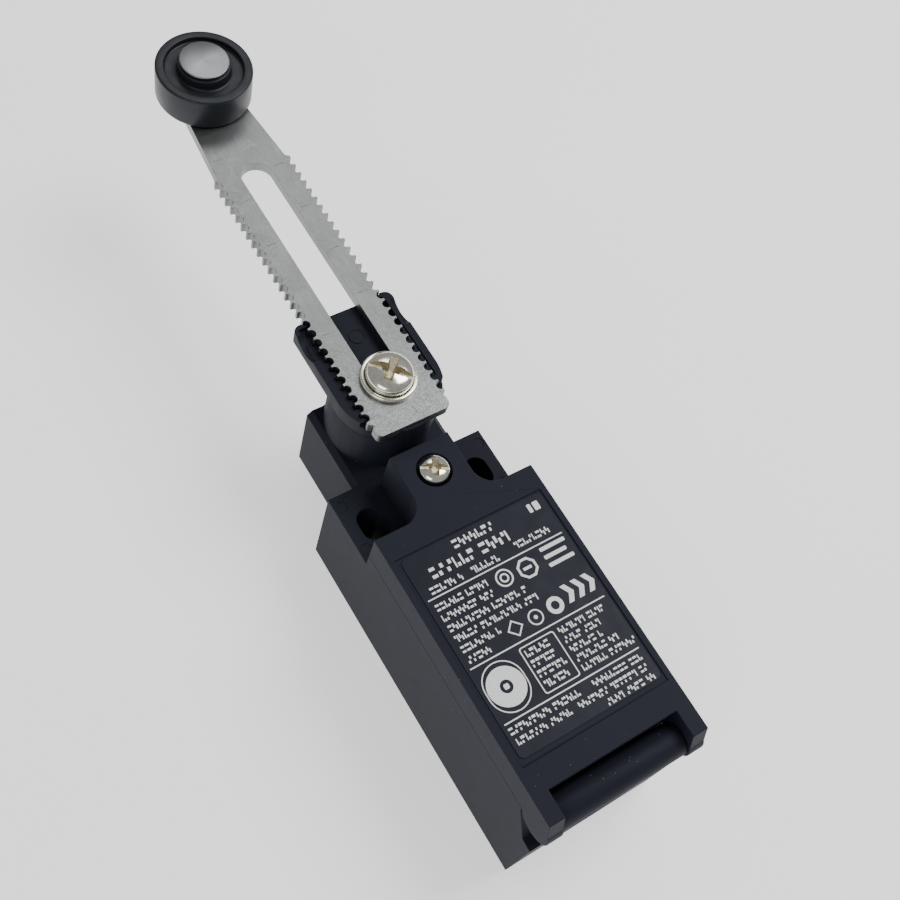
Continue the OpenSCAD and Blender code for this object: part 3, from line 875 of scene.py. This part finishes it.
def print_line(bm, x, y, length, height, group):
    """A line of abstract marks that reads as small print from afar and spells nothing."""
    end = x + length
    left = rng.randint(*group)
    while x < end - 0.3 * height:
        width = height * rng.uniform(0.52, 0.66)
        for x0, y0, x1, y1 in rng.choice(MARKS):
            ink(bm, rectangle(x + x0 * width, y + y0 * height, x + x1 * width, y + y1 * height))
        x += width + 0.17 * height
        left -= 1
        if left == 0:
            x += 0.5 * height
            left = rng.randint(*group)


def print_rules(bm):
    """The three thin lines across the label and the two small blocks in its corner."""
    for y in (-17.9, -30.5, -40.4):
        ink(bm, rectangle(-13.1, y - 0.11, 13.2, y + 0.11))
    for x0, x1 in ((10.4, 11.1), (11.5, 12.6)):
        ink(bm, rectangle(x0, -12.6, x1, -11.0, 0.2))


def print_signs(bm):
    """Plain rings, bars, chevrons and frames where such a label has its signs."""
    ink_ring(bm, 0.1, -20.2, 1.55, 1.25)
    ink_ring(bm, 0.1, -20.2, 0.8, 0.5)
    ink_ring(bm, 4.5, -20.5, 1.9, 1.45, 8, 22.5)
    ink(bm, rectangle(3.7, -20.75, 5.3, -20.25))
    for y, right in ((-18.9, 13.0), (-20.4, 12.4), (-21.9, 13.0)):
        ink(bm, rectangle(8.0, y - 0.34, right, y + 0.34, 0.2))
    chevron = [(-0.9, -1.6), (0.1, -1.6), (1.0, 0), (0.1, 1.6), (-0.9, 1.6), (0.0, 0)]
    for i in range(3):
        ink(bm, turned(chevron, 0, 8.2 + 2.1 * i, -27.3))
    ink_ring(bm, -3.0, -28.2, 1.5, 1.15, 4)
    ink_ring(bm, 1.0, -28.2, 1.35, 1.1)
    ink(bm, circle(1.0, -28.2, 0.35, 16))
    ink_ring(bm, 5.0, -28.0, 1.5, 0.75)
    ink_frame(bm, -13.1, -39.7, -5.8, -31.2, 3.6, 0.2, 3.4, 8)
    ink_ring(bm, -9.45, -35.45, 3.3, 1.1, 40)
    ink(bm, rectangle(-9.9, -35.9, -9.0, -35.0, 0.2))
    ink_frame(bm, -4.6, -39.6, 2.2, -31.3, 0.5, 0.2, 0.4)


def make_print():
    """All the ink on the label, as one piece."""
    bm = bmesh.new()
    print_rules(bm)
    print_signs(bm)
    for x, y, spacing, height, group, lengths in PRINT:
        for i, length in enumerate(lengths):
            print_line(bm, x, y - spacing * i, length, height, group)
    bmesh.ops.recalc_face_normals(bm, faces=bm.faces)
    marks = to_object("label_print", bm)
    marks.data.polygons.foreach_set("use_smooth", [False] * len(marks.data.polygons))
    marks.data.materials.append(printed("print_ink", INK_WHITE))
    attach(marks, "cover")
    return marks


# ---------------------------------------------------------------- camera, floor and light

# The camera, in millimetres and degrees, and its lens.
CAMERA_PLACE = (-78.65, -61.63, 212.53)
CAMERA_TURN = (27.874, -10.767, -31.733)
LENS = 50.1
LENS_SHIFT = (0.0113, 0.0053)

# The soft lights: power in watts, width, place and aim in millimetres.
LIGHTS = {
    "left_soft": (1.2, 350, (-500, -250, 500), (0, 0, 10)),
    "right_soft": (3.2, 350, (380, 0, 620), (0, -20, 20)),
    "roller_soft": (0.55, 250, (220, 420, 560), (0, 60, 30)),
}
WORLD_LIGHT = 0.3
FLOOR_GLOW = 0.8
FLOOR_HALF = 2000


def add_camera():
    data = bpy.data.cameras.new("photo_view")
    data.lens = LENS
    data.sensor_width = 36.0
    data.shift_x, data.shift_y = LENS_SHIFT
    data.clip_start = 0.01
    cam = bpy.data.objects.new("photo_view", data)
    cam.location = [v * MM for v in CAMERA_PLACE]
    cam.rotation_euler = [math.radians(a) for a in CAMERA_TURN]
    scene.collection.objects.link(cam)
    scene.camera = cam


def add_light(name, energy, size, place, target):
    data = bpy.data.lights.new(name, "AREA")
    data.energy = energy
    data.size = size * MM
    lamp = bpy.data.objects.new(name, data)
    lamp.location = [v * MM for v in place]
    direction = Vector(target) - Vector(place)
    lamp.rotation_euler = direction.to_track_quat("-Z", "Y").to_euler()
    scene.collection.objects.link(lamp)


def add_floor():
    """A pale paper floor, which glows a little so that it stays even."""
    floor = prism("floor", rectangle(-FLOOR_HALF, -FLOOR_HALF, FLOOR_HALF, FLOOR_HALF), -5, 0)
    s = Shader("floor_paper")
    base = s.ramp(s.noise(40, 2), [(0.3, (0.88, 0.88, 0.88)), (0.7, (0.9, 0.9, 0.9))])
    floor.data.materials.append(s.set(Base_Color=base, Roughness=0.7, Emission_Color=(1.0, 1.0, 1.0),
                                      Emission_Strength=FLOOR_GLOW))


def add_world():
    world = bpy.data.worlds.new("studio")
    world.use_nodes = True
    background = world.node_tree.nodes["Background"]
    background.inputs["Color"].default_value = (1, 1, 1, 1)
    background.inputs["Strength"].default_value = WORLD_LIGHT
    scene.world = world


MATERIALS = make_materials()
add_camera()
add_floor()
add_world()
for light_name, light in LIGHTS.items():
    add_light(light_name, *light)
dress_cad_nodes()
make_arm()
make_base()
make_washer()
make_lever_screw()
make_cover_screw()
make_roller()
make_pin()
make_label()
make_print()
make_spring("rod_spring", "plunger_spring", "plunger")
make_spring("return_spring", "carrier_spring", "carrier")
